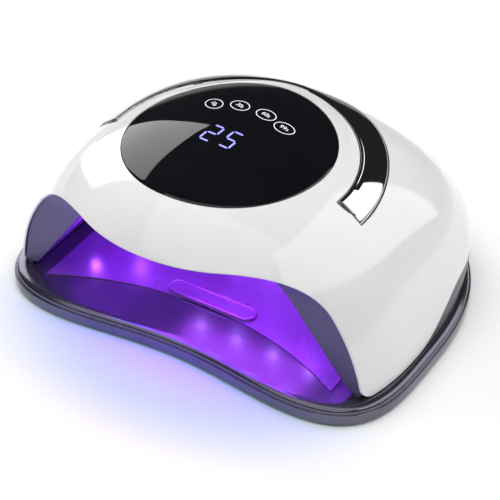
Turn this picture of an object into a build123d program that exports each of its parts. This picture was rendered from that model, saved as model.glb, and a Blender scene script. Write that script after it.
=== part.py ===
"""Desk-top UV nail lamp: a domed housing that lifts off a shallow tray, with a folding carrying strap.

Millimetres. The origin is the centre of the footprint on the bench, +Z up, X across the mouth,
-Y towards the user's hand and +Y to the back.
"""

from build123d import *
from math import cos, exp, pi, sin
import os

# ---- Overall ----
MID_Y = -14.5  # widest line of the tray and of the dome's foot
FAR = 200.0  # reach of the cutting blocks, well past the lamp on every side
OUTLINE_POINTS = 36  # points round each closed outline
FIT = 0.3  # gap between pieces that face each other

# ---- Tray ----
TRAY_HALF_W = 112.5
TRAY_FRONT = 76.2
TRAY_BACK = 114.1
TRAY_FRONT_POWER = 4.0  # squarish front corners
TRAY_BACK_POWER = 2.4  # rounder back
WAIST_DEPTH = 14.1  # how far the front edge curves in at its middle
WAIST_WIDTH = 73.4
FOOT_H = 1.0
BAND_TOP = 7.2  # top of the upright side band
GROOVE = 1.0  # step in from the band to the sloping shoulder
TRAY_TOP = 10.4
TRAY_RIM = 5.0  # how far the top face is set in from the band
TRAY_WALL = 2.4
TRAY_SKIN_Z = 7.6  # underside of the top skin
BOTTOM_PLATE_T = 1.8

# ---- Dome: half sizes at the bench plane and how each fades with height ----
DOME_H = 106.6
DOME_HALF_W = 107.6
DOME_FRONT = 92.5
DOME_BACK = 110.5
DOME_SIDE_POWER = 2.22
DOME_FRONT_POWER = 2.62
DOME_BACK_POWER = 2.67
DOME_LEAN_FOOT = -1.5  # centre of the lowest section, from MID_Y
DOME_LEAN_TOP = -15.8  # centre of the highest section, from MID_Y
FRONT_ROUND_FOOT = 2.8  # plan power of the front half, at the foot and at the top
FRONT_ROUND_TOP = 1.8
BACK_ROUND_FOOT = 1.9
BACK_ROUND_TOP = 0.63
BACK_ROUND_BULGE = 2.28  # squarer at mid height
BACK_ROUND_MIN = 1.85
DOME_LEVELS = (0.04, 0.16, 0.30, 0.44, 0.57, 0.68, 0.77, 0.85, 0.91, 0.955, 0.985, 0.998)
COVER_T = 2.5

# ---- Mouth and skirt ----
BROW_Z = 79.2
BROW_Y = MID_Y - 54.5
BROW_R = 24.0
MOUTH_FOOT_Y = MID_Y - 50.5
MOUTH_FOOT_R = 7.0
SKIRT_Z = 11.0  # lower edge of the white cover beside the mouth
SKIRT_RISE_Y = MID_Y + 1.0
SKIRT_TOP_Y = MID_Y + 36.0
SKIRT_TOP_Z = 25.0
SKIRT_R = 40.0
BEZEL_SET_BACK = 1.0
BEZEL_T = 2.2
LIP_T = 0.9  # the cover thins to this round the mouth, where the bezel is let in

# ---- Hand cavity ----
CAVITY_FOOT_HALF_W = 94.0
CAVITY_TOP_HALF_W = 50.0
CAVITY_FOOT_Z = 10.0
CAVITY_TOP_Z = 71.5
CAVITY_CORNER_R = 11.0
CAVITY_BACK_Y = 38.0
LINER_T = 1.4
LINER_FOOT_Z = 11.0

# ---- Frame ----
FRAME_Z = 10.8
FRAME_PLATE_T = 2.4
FRAME_WALL = 2.0
STRAP_GAP = 0.6

# ---- Window and keys ----
WINDOW_Y = MID_Y - 8.5
WINDOW_A = 51.9
WINDOW_B = 53.6
WINDOW_T = 2.2
WINDOW_FIT = 0.15
LEDGE_T = 4.2
LEDGE_IN = 4.0
LEDGE_OUT = 4.5
GASKET_T = 0.5
KEY_PLACES = ((-20.1, 8.2), (-7.5, 12.4), (7.5, 12.4), (20.1, 8.2))
DIGITS_Y = MID_Y - 17.4

# ---- Carrying strap ----
STRAP_OUT_A = 75.2
STRAP_OUT_B = 80.0
STRAP_OUT_Y = MID_Y - 8.0
STRAP_IN_A = 63.3
STRAP_IN_B = 64.0
STRAP_IN_Y = MID_Y - 9.0
STRAP_END_Y = MID_Y - 12.5
STRAP_PROUD = 0.8
STRAP_T = 3.5
CHANNEL_D = 6.0
CHANNEL_T = 2.0
PIVOT_Y = MID_Y - 9.0
PIVOT_Z = 85.0
PIN_R = 1.5
PIN_CLEARANCE = 0.05
LUG_X = 63.9
LUG_W = 4.0
LUG_R = 3.2
POCKET_INNER_R = 8.2  # room for the strap's square end to swing down, most where the strap sits highest
POCKET_OUTER_R = 4.6
POCKET_W = 7.0
BRACKET_X0 = 55.0
BRACKET_X1 = 72.5
SCOOP_R = 15.0
SCOOP_HALF_W = 20.0
SCOOP_Y = MID_Y + 71.0
SCOOP_Z = 85.5
SCOOP_WALL = 2.0

# ---- Boards, lamps and small parts ----
BOARD_T = 1.6
BOARD_GAP = 0.6
BEAD_R = 2.7
BEAD_PROUD = 0.9
BEAD_HOLE_R = 3.0
MAGNET_R = 3.4
MAGNET_H = 2.0
SCREW_R = 1.3
SCREW_FIT = 0.05  # the shank is smaller than its pilot hole
SCREW_HEAD_R = 2.6
SCREW_HEAD_H = 1.6
FRAME_HEAD_Z = FRAME_Z + 0.2  # underside of the frame screws' heads
FRAME_HEAD_H = 1.0
FRAME_SCREW_REACH = 8.0  # above the frame plate
TRAY_HEAD_Z = FOOT_H + 0.1
TRAY_HEAD_H = 0.8
FOOT_R = 7.0
FOOT_RECESS = 0.8
CATCH_R = MAGNET_R + 0.6
CATCH_T = 1.0
BOSS_R = 3.4
DISPLAY_BOSS_R = 2.6
LEAD_R = 1.1
VENT_HALF_W = 1.3
VENT_PITCH = 6
VENT_Z0 = 34.0
VENT_Z1 = 52.0
ROOF_BEAD_X = (-34.5, -11.5, 11.5, 34.5)
ROOF_BEAD_Y = (-48.0, -24.0, 0.0)
WALL_BEADS = ((-18.5, -9.5), (7.4, 8.4), (34.0, -4.9))  # along and up each side wall, from its middle
BACK_BEAD_X = (-33.0, -11.0, 11.0, 33.0)
BACK_BEAD_Z = (32.0, 54.0)
WALL_MID_Y = -12.0
WALL_MID_Z = 38.0
ROOF_BOARD_HALF_W = 44.0
ROOF_BOARD_FRONT = -57.0
ROOF_BOARD_BACK = 13.0
WALL_BOARD_L = 76.0
WALL_BOARD_H = 36.0
BACK_BOARD_HALF_W = 42.0
BACK_BOARD_Z0 = 24.0
BACK_BOARD_Z1 = 62.0
SENSOR_HALF_W = 7.0
SENSOR_FRONT = -67.0
SENSOR_BACK = -59.0
SENSOR_H = 5.0
SENSOR_EYE_R = 2.0
SENSOR_EYE_X = 3.5
DISPLAY_Z = 85.5  # underside of the display board
DIGIT_BLOCK_HALF_W = 14.0
DIGIT_BLOCK_HALF_L = 9.5
DIGIT_BLOCK_H = 9.0
SPRING_R = 3.0
SPRING_BORE_R = 2.3
DRIVER_Z = 17.0  # underside of the driver board
DRIVER_HALF_W = 44.0
DRIVER_FRONT = 46.0
DRIVER_BACK = 75.0
DRIVER_POST_R = 3.0
CAPACITOR_X = (-30.0, -18.0)
CAPACITOR_Y = 56.0
CAPACITOR_R = 4.5
CAPACITOR_H = 14.0
COIL_X = 4.0
COIL_Y = 63.0
COIL_R = 8.0
COIL_BORE_R = 3.4
COIL_H = 7.0
CHIP_X = (18.0, 30.0)
CHIP_Y = 50.0
CHIP_W = 9.0
CHIP_L = 12.0
CHIP_H = 3.0
JACK_Z = 19.2
JACK_R = 5.0
JACK_Y = 78.0  # front of the jack's square body
JACK_BODY_L = 8.0
JACK_HALF_W = 6.0
JACK_HALF_H = 5.5
JACK_BORE_R = 2.75
JACK_PIN_R = 1.0
RIBBON_HALF_W = 8.0
RIBBON_T = 0.6
CONNECTOR_HALF_W = 9.5
FLOOR_TOP = TRAY_TOP + 0.5
FLOOR_HALF_W = 84.0
FLOOR_EDGE_MID_Y = MID_Y - 31.0
FLOOR_EDGE_SIDE_Y = MID_Y - 52.5
FLOOR_BACK_Y = 34.0
REST_Y = MID_Y - 26.3
REST_PITCH = 40.4  # between the centres of its round ends
REST_W = 11.0
REST_H = 1.9
REST_EDGE_R = 0.6


# ---- Plan outlines ----

def polar_radius(angle, half_x, half_y, power):
    """Distance from the centre to a superellipse along a direction."""
    across = abs(cos(angle) / half_x) ** power
    along = abs(sin(angle) / half_y) ** power
    return (across + along) ** (-1 / power)


def ring_points(half_x, front, back, front_power, back_power):
    """Points round a closed outline, from the middle of its front, whose two halves differ."""
    points = []
    for step in range(OUTLINE_POINTS):
        angle = 2 * pi * step / OUTLINE_POINTS - pi / 2
        at_front = sin(angle) < 0
        half_y = front if at_front else back
        power = front_power if at_front else back_power
        radius = polar_radius(angle, half_x, half_y, power)
        points.append((radius * cos(angle), radius * sin(angle)))
    return points


def closed_face(points, z):
    """A flat face inside a smooth closed curve at one height."""
    return make_face(Spline(*[(x, y, z) for x, y in points], periodic=True))


def tray_section(inset, z):
    """The tray's outline, set in by a distance, with its waisted front edge."""
    half_x = TRAY_HALF_W - inset
    front = TRAY_FRONT - inset
    outline = ring_points(half_x, front, TRAY_BACK - inset, TRAY_FRONT_POWER, TRAY_BACK_POWER)
    points = []
    for x, y in outline:
        waist = WAIST_DEPTH * exp(-(x / WAIST_WIDTH) ** 2) * max(-y / front, 0)
        points.append((x, y + waist + MID_Y))
    return closed_face(points, z)


# ---- Dome ----

def fade(level, power):
    """How much of a half size is left at a level from 0, the bench, to 1, the top."""
    return (1 - level ** power) ** (1 / power)


def dome_shape(level, inset):
    """Half sizes, plan powers and centre of the dome's section at a level."""
    half_x = (DOME_HALF_W - inset) * fade(level, DOME_SIDE_POWER)
    front = (DOME_FRONT - inset) * fade(level, DOME_FRONT_POWER)
    back = (DOME_BACK - inset) * fade(level, DOME_BACK_POWER)
    front_power = FRONT_ROUND_FOOT + (FRONT_ROUND_TOP - FRONT_ROUND_FOOT) * level
    bulge = BACK_ROUND_BULGE * 4 * level * (1 - level)
    back_power = BACK_ROUND_FOOT + (BACK_ROUND_TOP - BACK_ROUND_FOOT) * level + bulge
    back_power = max(back_power, BACK_ROUND_MIN)
    centre = MID_Y + DOME_LEAN_FOOT + (DOME_LEAN_TOP - DOME_LEAN_FOOT) * level
    return half_x, front, back, front_power, back_power, centre


def dome(inset):
    """The solid dome, set in from the outer skin by a distance."""
    sections = []
    for level in DOME_LEVELS:
        half_x, front, back, front_power, back_power, centre = dome_shape(level, inset)
        outline = ring_points(half_x, front, back, front_power, back_power)
        points = [(x, y + centre) for x, y in outline]
        sections.append(closed_face(points, level * (DOME_H - inset)))
    return loft(sections)


def dome_height(x, y, inset=0.0):
    """Height of the dome's skin over a point in plan."""
    low, high = 0.0, 1.0
    for _ in range(40):
        level = (low + high) / 2
        half_x, front, back, front_power, back_power, centre = dome_shape(level, inset)
        along = y - centre
        half_y = front if along < 0 else back
        power = front_power if along < 0 else back_power
        inside = (abs(x) / half_x) ** power + (abs(along) / half_y) ** power < 1
        low, high = (level, high) if inside else (low, level)
    return low * (DOME_H - inset)


# ---- Small helpers ----

def block(x0, x1, y0, y1, z0, z1):
    """A box given by its corners."""
    centre = ((x0 + x1) / 2, (y0 + y1) / 2, (z0 + z1) / 2)
    return Pos(*centre) * Box(x1 - x0, y1 - y0, z1 - z0)


def post(x, y, z0, z1, radius):
    """An upright cylinder."""
    return Pos(x, y, (z0 + z1) / 2) * Cylinder(radius, z1 - z0)


def cross_rod(x0, x1, y, z, radius):
    """A cylinder along X."""
    return Pos((x0 + x1) / 2, y, z) * Rot(0, 90, 0) * Cylinder(radius, x1 - x0)


def depth_rod(x, y0, y1, z, radius):
    """A cylinder along Y."""
    return Pos(x, (y0 + y1) / 2, z) * Rot(90, 0, 0) * Cylinder(radius, y1 - y0)


def screw(x, y, head_z, head_h, tip_z):
    """A pan-head screw that stands on its head."""
    shank = post(x, y, head_z + head_h, tip_z, SCREW_R - SCREW_FIT)
    return shank + post(x, y, head_z, head_z + head_h, SCREW_HEAD_R)


def oval_prism(half_x, half_y, y, z0, z1):
    """An upright oval block."""
    return extrude(Pos(0, y, z0) * Ellipse(half_x, half_y), z1 - z0)


def side_prism(points, radii):
    """A block across the whole lamp whose side view is a polygon with rounded corners."""
    outline = FilletPolyline(*points, radius=radii, close=True)
    return extrude(Plane.YZ * make_face(outline), FAR, both=True)


def save(name, shape):
    """Writes one node."""
    export_step(shape, f"parts/{name}.step")


def gather(pieces):
    """Several separate solids as one node."""
    return Compound(children=[solid for piece in pieces for solid in piece.solids()])


# ---- Spaces that several pieces are cut with ----

def mouth_space(grow):
    """The open space in front of the mouth and under the brow."""
    top = BROW_Z + grow
    points = [(-FAR, top), (BROW_Y + grow, top), (MOUTH_FOOT_Y + grow, SKIRT_Z), (MOUTH_FOOT_Y + grow, -FAR),
              (-FAR, -FAR)]
    return side_prism(points, [0, BROW_R + grow, 0, 0, 0])


def under_cover():
    """Everything in front of and below the edge of the white cover."""
    points = [(-FAR, BROW_Z), (BROW_Y, BROW_Z), (MOUTH_FOOT_Y, SKIRT_Z), (SKIRT_RISE_Y, SKIRT_Z),
              (SKIRT_TOP_Y, SKIRT_TOP_Z), (FAR, SKIRT_TOP_Z), (FAR, -FAR), (-FAR, -FAR)]
    return side_prism(points, [0, BROW_R, MOUTH_FOOT_R, SKIRT_R, SKIRT_R, 0, 0, 0])


def below_skirt(drop):
    """Everything below the cover's skirt line."""
    points = [(-FAR, SKIRT_Z - drop), (SKIRT_RISE_Y, SKIRT_Z - drop), (SKIRT_TOP_Y, SKIRT_TOP_Z - drop),
              (FAR, SKIRT_TOP_Z - drop), (FAR, -FAR), (-FAR, -FAR)]
    return side_prism(points, [0, SKIRT_R, SKIRT_R, 0, 0, 0])


def cavity_space(grow, back_y, foot_z):
    """The hand cavity, open below, as a tapering tunnel that runs from the mouth to the back wall."""
    slope = (CAVITY_FOOT_HALF_W - CAVITY_TOP_HALF_W) / (CAVITY_TOP_Z - CAVITY_FOOT_Z)
    widen = grow * (1 + slope ** 2) ** 0.5
    top_z = CAVITY_TOP_Z + grow
    foot_x = CAVITY_FOOT_HALF_W + widen - slope * (foot_z - CAVITY_FOOT_Z)
    top_x = CAVITY_TOP_HALF_W + widen - slope * grow
    points = [(-foot_x, foot_z), (-top_x, top_z), (top_x, top_z), (foot_x, foot_z)]
    corner = CAVITY_CORNER_R + grow
    section = make_face(FilletPolyline(*points, radius=[0, corner, corner, 0], close=True))
    return extrude(Plane.XZ * section, FAR, both=True) & block(-FAR, FAR, -FAR, back_y, -FAR, FAR)


def strap_prism(grow):
    """Plan of the carrying strap as an upright block, wider all round by a gap."""
    outer = oval_prism(STRAP_OUT_A + grow, STRAP_OUT_B + grow, STRAP_OUT_Y, 50, 120)
    inner = oval_prism(STRAP_IN_A - grow, STRAP_IN_B - grow, STRAP_IN_Y, 50, 120)
    front = block(-FAR, FAR, STRAP_END_Y - grow, FAR, 50, 120)
    return (outer - inner) & front


def side_wall_plane(side):
    """A plane on the outside of the cavity liner's sloping wall, X along the wall's length."""
    slope = (CAVITY_FOOT_HALF_W - CAVITY_TOP_HALF_W) / (CAVITY_TOP_Z - CAVITY_FOOT_Z)
    widen = LINER_T * (1 + slope ** 2) ** 0.5
    mid_x = CAVITY_FOOT_HALF_W + widen - slope * (WALL_MID_Z - CAVITY_FOOT_Z)
    return Plane(origin=(side * mid_x, WALL_MID_Y, WALL_MID_Z), x_dir=(0, 1, 0), z_dir=(side, 0, slope))


def bead_places():
    """Where each lamp bead sits: a location whose Z points out of the cavity, at the liner's outer face."""
    places = []
    for x in ROOF_BEAD_X:
        for y in ROOF_BEAD_Y:
            places.append(Pos(x, y, CAVITY_TOP_Z + LINER_T))
    for side in (-1, 1):
        for along, up in WALL_BEADS:
            places.append(side_wall_plane(side).location * Pos(along, up * side, 0))
    for x in BACK_BEAD_X:
        for z in BACK_BEAD_Z:
            places.append(Pos(x, CAVITY_BACK_Y + LINER_T, z) * Rot(-90, 0, 0))
    return places


# ---- Tray ----

def screw_places_tray():
    """Where the bottom plate is screwed to the tray."""
    return [(-88, -52), (88, -52), (-92, 18), (92, 18), (-42, 76), (42, 76)]


def foot_places():
    """Centres of the rubber feet."""
    return [(-80, -66), (80, -66), (-66, 60), (66, 60)]


def magnet_places():
    """Where a magnet in the frame meets a steel catch plate in the tray."""
    return [(-100.2, -34), (100.2, -34), (-56, 70), (56, 70)]


def make_tray():
    band = extrude(tray_section(0, FOOT_H), BAND_TOP - FOOT_H)
    shoulder = loft([tray_section(GROOVE, BAND_TOP), tray_section(TRAY_RIM, TRAY_TOP)])
    tray = band + shoulder
    hollow = extrude(tray_section(TRAY_WALL, FOOT_H), TRAY_SKIN_Z - FOOT_H)
    tray -= hollow & block(-FAR, FAR, -FAR, FAR, 0, BAND_TOP)
    for x, y in screw_places_tray():
        tray += post(x, y, FOOT_H + BOTTOM_PLATE_T, TRAY_SKIN_Z, BOSS_R)
        tray -= post(x, y, 0, TRAY_SKIN_Z - 0.4, SCREW_R)
    for x, y in magnet_places():
        tray -= post(x, y, TRAY_TOP - CATCH_T, TRAY_TOP, CATCH_R)
    return tray


def floor_plate_shape():
    """The mirror floor, whose front edge bows back between the side walls of the mouth."""
    front_right = (FLOOR_HALF_W, FLOOR_EDGE_SIDE_Y)
    front_left = (-FLOOR_HALF_W, FLOOR_EDGE_SIDE_Y)
    arc = ThreePointArc(front_left, (0, FLOOR_EDGE_MID_Y), front_right)
    sides = Polyline(front_right, (FLOOR_HALF_W, FLOOR_BACK_Y), (-FLOOR_HALF_W, FLOOR_BACK_Y), front_left)
    return make_face(arc + sides)


def make_rest_bar():
    """The raised finger stop on the floor."""
    bar = extrude(Pos(0, REST_Y, FLOOR_TOP) * SlotCenterToCenter(REST_PITCH, REST_W), REST_H)
    return fillet(bar.faces().sort_by(Axis.Z)[-1].edges(), REST_EDGE_R)


def build_tray():
    save("base_tray", make_tray())
    save("floor_reflector", extrude(Pos(0, 0, TRAY_TOP) * floor_plate_shape(), FLOOR_TOP - TRAY_TOP))
    save("finger_rest_bar", make_rest_bar())
    plate = extrude(tray_section(TRAY_WALL + FIT, FOOT_H), BOTTOM_PLATE_T)
    feet = []
    screws = []
    for x, y in screw_places_tray():
        plate -= post(x, y, 0, TRAY_TOP, SCREW_R + 0.2)
        plate -= post(x, y, 0, TRAY_HEAD_Z + TRAY_HEAD_H, SCREW_HEAD_R + FIT)
        screws.append(screw(x, y, TRAY_HEAD_Z, TRAY_HEAD_H, TRAY_SKIN_Z - 1.5))
    for x, y in foot_places():
        plate -= post(x, y, 0, FOOT_H + FOOT_RECESS, FOOT_R)
        feet.append(post(x, y, 0, FOOT_H + FOOT_RECESS, FOOT_R))
    save("tray_bottom_plate", plate)
    save("tray_screws", gather(screws))
    save("rubber_feet", gather(feet))
    save("catch_plates", gather([post(x, y, TRAY_TOP - CATCH_T, TRAY_TOP, CATCH_R) for x, y in magnet_places()]))


# ---- Housing: shells ----

def cover_boss_places():
    """Where the frame is screwed up into the cover."""
    return [(-100.0, -10), (100.0, -10), (-78, 58), (78, 58), (-20, 84), (20, 84)]


def display_post_places():
    """Where the display board is screwed to the cover's window ledge."""
    return [(x, WINDOW_Y + y) for x in (-36, 36) for y in (-33, 33)]


def make_cover(skin, inner, channel_floor):
    around_window = oval_prism(WINDOW_A + LEDGE_OUT, WINDOW_B + LEDGE_OUT, WINDOW_Y, 60, 120)
    ledge = dome(LEDGE_T) & around_window
    trough = dome(CHANNEL_D + CHANNEL_T) & strap_prism(STRAP_GAP + CHANNEL_T)
    backing = dome(1.0)
    extras = [(backing & around_window) - ledge]
    extras.append((backing & strap_prism(STRAP_GAP + CHANNEL_T)) - trough)
    scoop_r = SCOOP_R + SCOOP_WALL
    scoop_x = SCOOP_HALF_W + SCOOP_WALL
    extras.append(backing & cross_rod(-scoop_x, scoop_x, SCOOP_Y, SCOOP_Z, scoop_r))
    lining = dome(COVER_T - 0.2)
    extras += [lining & post(x, y, FRAME_Z + FRAME_PLATE_T, 70, BOSS_R) for x, y in cover_boss_places()]
    extras += [backing & post(x, y, DISPLAY_Z + BOARD_T, 98, DISPLAY_BOSS_R) for x, y in display_post_places()]
    extras += [backing & pivot_bracket(side) for side in (-1, 1)]
    cover = skin - inner
    for extra in extras:
        cover += extra
    window_seat = oval_prism(WINDOW_A + WINDOW_FIT, WINDOW_B + WINDOW_FIT, WINDOW_Y, 60, 120)
    cover -= strap_prism(STRAP_GAP) - channel_floor
    cover -= window_seat - dome(WINDOW_T + GASKET_T)
    cuts = [cross_rod(-SCOOP_HALF_W, SCOOP_HALF_W, SCOOP_Y, SCOOP_Z, SCOOP_R)]
    cuts.append(oval_prism(WINDOW_A - LEDGE_IN, WINDOW_B - LEDGE_IN, WINDOW_Y, 60, 120))
    for side in (-1, 1):
        cuts.append(pivot_pocket(side))
        cuts.append(side_rod(side, BRACKET_X0 + 2, STRAP_IN_A, PIN_R))
    cuts += [post(x, y, 0, FRAME_Z + FRAME_PLATE_T + 9, SCREW_R) for x, y in cover_boss_places()]
    cuts += [post(x, y, 0, DISPLAY_Z + BOARD_T + 2.2, SCREW_R) for x, y in display_post_places()]
    for x in range(-4 * VENT_PITCH, 4 * VENT_PITCH + 1, VENT_PITCH):
        cuts.append(block(x - VENT_HALF_W, x + VENT_HALF_W, 60, 110, VENT_Z0, VENT_Z1))
    for cut in cuts:
        cover -= cut
    rebate = mouth_space(BEZEL_SET_BACK + BEZEL_T + FIT) & dome(LIP_T)
    rebate &= block(-FAR, FAR, -FAR, FAR, FRAME_Z + FRAME_PLATE_T, FAR)
    return cover - under_cover() - rebate


def pivot_bracket(side):
    """The block inside the cover round one end of the strap, which holds the end pin."""
    x0, x1 = sorted((side * BRACKET_X0, side * BRACKET_X1))
    return block(x0, x1, PIVOT_Y - 9.5, PIVOT_Y + 9.5, PIVOT_Z - 9.5, 100)


def pivot_pocket(side):
    """The tapered space in which one square end of the strap swings down."""
    x0 = STRAP_IN_A - STRAP_GAP
    taper = Cone(POCKET_INNER_R, POCKET_OUTER_R, POCKET_W)
    return Pos(side * (x0 + POCKET_W / 2), PIVOT_Y, PIVOT_Z) * Rot(0, side * 90, 0) * taper


def side_rod(side, x0, x1, radius):
    """A cylinder on the pivot line, on one side of the lamp."""
    return cross_rod(*sorted((side * x0, side * x1)), PIVOT_Y, PIVOT_Z, radius)


def make_frame(skin):
    ring = (skin - dome(FRAME_WALL)) & below_skirt(FIT)
    ring &= block(-FAR, FAR, -FAR, FAR, FRAME_Z, FAR)
    slab = block(-FAR, FAR, -FAR, FAR, FRAME_Z, FRAME_Z + FRAME_PLATE_T)
    frame = ring + (dome(COVER_T + FIT) & slab)
    frame += dome(FRAME_WALL - 1.0) & slab & below_skirt(FIT)
    frame -= mouth_space(BEZEL_SET_BACK)
    frame -= cavity_space(LINER_T + FIT, CAVITY_BACK_Y + LINER_T + FIT, 0)
    for x, y in magnet_places():
        frame -= post(x, y, FRAME_Z, FRAME_Z + MAGNET_H, MAGNET_R)
    for x, y in cover_boss_places():
        frame -= post(x, y, 0, 20, SCREW_R + 0.3)
        frame -= post(x, y, 0, FRAME_HEAD_Z + FRAME_HEAD_H, SCREW_HEAD_R + FIT)
    for x, y in driver_post_places():
        frame += post(x, y, FRAME_Z + FRAME_PLATE_T - 0.5, DRIVER_Z, DRIVER_POST_R)
    frame -= depth_rod(0, 70, 120, JACK_Z, JACK_R + 0.1)
    return frame


def make_bezel():
    """The dark fascia between the cover's edge and the mouth of the cavity."""
    band = mouth_space(BEZEL_SET_BACK + BEZEL_T) - mouth_space(BEZEL_SET_BACK)
    bezel = band & dome(LIP_T + FIT)
    bezel &= block(-FAR, FAR, -FAR, FAR, FRAME_Z + FRAME_PLATE_T + 0.1, FAR)
    return bezel - cavity_space(0, 0, 0)


def make_liner():
    """The reflector: sloping side walls, a roof and a back wall, with a hole for every lamp bead."""
    outer = cavity_space(LINER_T, CAVITY_BACK_Y + LINER_T, LINER_FOOT_Z - 5)
    liner = outer - cavity_space(0, CAVITY_BACK_Y, LINER_FOOT_Z - 20)
    liner -= mouth_space(BEZEL_SET_BACK + BEZEL_T)
    liner &= block(-FAR, FAR, -FAR, FAR, LINER_FOOT_Z, FAR)
    for place in bead_places():
        liner -= place * Cylinder(BEAD_HOLE_R, 3 * LINER_T)
    liner -= hand_sensor_body(0.2)
    return liner


# ---- Housing: electrics ----

def driver_post_places():
    """Where the driver board stands."""
    return [(x, y) for x in (-38, 38) for y in (50, 70)]


def hand_sensor_body(grow):
    """The proximity sensor in the cavity's roof, just inside the mouth."""
    half_w = SENSOR_HALF_W + grow
    top_z = CAVITY_TOP_Z + SENSOR_H
    return block(-half_w, half_w, SENSOR_FRONT - grow, SENSOR_BACK + grow, CAVITY_TOP_Z - 0.5, top_z)


def make_bead():
    """One lamp bead: a round base on the board and a domed lens that reaches into the cavity."""
    base = Pos(0, 0, (BOARD_GAP - LINER_T) / 2) * Cylinder(BEAD_R, BOARD_GAP + LINER_T)
    lens_space = Box(4 * BEAD_R, 4 * BEAD_R, 2 * BEAD_PROUD)
    lens = Pos(0, 0, -LINER_T) * Sphere(BEAD_R) & Pos(0, 0, -LINER_T - BEAD_PROUD) * lens_space
    return base + lens


def build_light_boards():
    half_t = BOARD_T / 2
    top_z = CAVITY_TOP_Z + LINER_T + BOARD_GAP
    half_w = ROOF_BOARD_HALF_W
    save("led_board_top", block(-half_w, half_w, ROOF_BOARD_FRONT, ROOF_BOARD_BACK, top_z, top_z + BOARD_T))
    for side, name in ((-1, "left"), (1, "right")):
        board = Pos(0, 0, BOARD_GAP + half_t) * Box(WALL_BOARD_L, WALL_BOARD_H, BOARD_T)
        board = side_wall_plane(side).location * board
        save(f"led_board_{name}", board)
    back_y = CAVITY_BACK_Y + LINER_T + BOARD_GAP
    half_w = BACK_BOARD_HALF_W
    save("led_board_back", block(-half_w, half_w, back_y, back_y + BOARD_T, BACK_BOARD_Z0, BACK_BOARD_Z1))
    save("led_beads", gather([place * make_bead() for place in bead_places()]))
    sensor = hand_sensor_body(0)
    for x in (-SENSOR_EYE_X, SENSOR_EYE_X):
        sensor += post(x, (SENSOR_FRONT + SENSOR_BACK) / 2, CAVITY_TOP_Z - 1.6, CAVITY_TOP_Z, SENSOR_EYE_R)
    save("hand_sensor", sensor)


def build_driver():
    top = DRIVER_Z + BOARD_T
    save("driver_board", block(-DRIVER_HALF_W, DRIVER_HALF_W, DRIVER_FRONT, DRIVER_BACK, DRIVER_Z, top))
    save("capacitors", gather([post(x, CAPACITOR_Y, top, top + CAPACITOR_H, CAPACITOR_R) for x in CAPACITOR_X]))
    coil = post(COIL_X, COIL_Y, top, top + COIL_H, COIL_R)
    save("inductor", coil - post(COIL_X, COIL_Y, top, top + COIL_H, COIL_BORE_R))
    chips = [block(x, x + CHIP_W, CHIP_Y, CHIP_Y + CHIP_L, top, top + CHIP_H) for x in CHIP_X]
    save("power_chips", gather(chips))
    save("power_jack", make_jack())


def make_jack():
    """A barrel socket with its centre pin, whose mouth ends just inside the dome's skin."""
    mouth_y = dome_back(JACK_Z) - 0.4
    body_z = (JACK_Z - JACK_HALF_H, JACK_Z + JACK_HALF_H)
    jack = block(-JACK_HALF_W, JACK_HALF_W, JACK_Y, JACK_Y + JACK_BODY_L, *body_z)
    jack += depth_rod(0, JACK_Y, mouth_y, JACK_Z, JACK_R)
    jack -= depth_rod(0, JACK_Y + 3, mouth_y, JACK_Z, JACK_BORE_R)
    return jack + depth_rod(0, JACK_Y + 2, mouth_y - 2, JACK_Z, JACK_PIN_R)


def dome_back(z):
    """Depth of the dome's back at a height, on the centre line."""
    shape = dome_shape(z / DOME_H, 0.0)
    return shape[5] + shape[2]


def build_display():
    top = DISPLAY_Z + BOARD_T
    board = oval_prism(WINDOW_A - 6, WINDOW_B - 6, WINDOW_Y, DISPLAY_Z, top)
    screws = []
    for x, y in display_post_places():
        board -= post(x, y, 0, 120, SCREW_R + 0.2)
        screws.append(screw(x, y, DISPLAY_Z - SCREW_HEAD_H, SCREW_HEAD_H, top + 2.0))
    save("display_board", board)
    save("display_screws", gather(screws))
    digits_front = DIGITS_Y - DIGIT_BLOCK_HALF_L
    digits_back = DIGITS_Y + DIGIT_BLOCK_HALF_L
    digits = block(-DIGIT_BLOCK_HALF_W, DIGIT_BLOCK_HALF_W, digits_front, digits_back, top, top + DIGIT_BLOCK_H)
    save("digit_display", digits)
    springs = []
    for x, key_y in KEY_PLACES:
        y = MID_Y + key_y
        sides = ((x + SPRING_R, y), (x - SPRING_R, y), (x, y + SPRING_R), (x, y - SPRING_R))
        reach = min(dome_height(a, b, WINDOW_T) for a, b in sides) - FIT
        springs.append(post(x, y, top, reach, SPRING_R) - post(x, y, top, reach, SPRING_BORE_R))
    save("touch_springs", gather(springs))
    save("control_chip", block(-6, 6, WINDOW_Y + 26, WINDOW_Y + 34, top, top + 2))
    build_ribbon()


def build_ribbon():
    """The flat ribbon that climbs from the driver board, behind the cavity, to the display board."""
    low_z = DRIVER_Z + BOARD_T
    half_w = CONNECTOR_HALF_W
    connectors = [block(-half_w, half_w, DRIVER_FRONT + 0.6, DRIVER_FRONT + 5, low_z, low_z + 5)]
    connectors.append(block(-half_w, half_w, 20, 25, DISPLAY_Z - 4, DISPLAY_Z))
    save("ribbon_connectors", gather(connectors))
    ribbon_line = Polyline((46.2, low_z + 3), (44.5, low_z + 5), (44.5, 72), (25.4, 82.7))
    save("display_ribbon", extrude(Plane.YZ * trace(ribbon_line, RIBBON_T), RIBBON_HALF_W, both=True))


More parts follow.
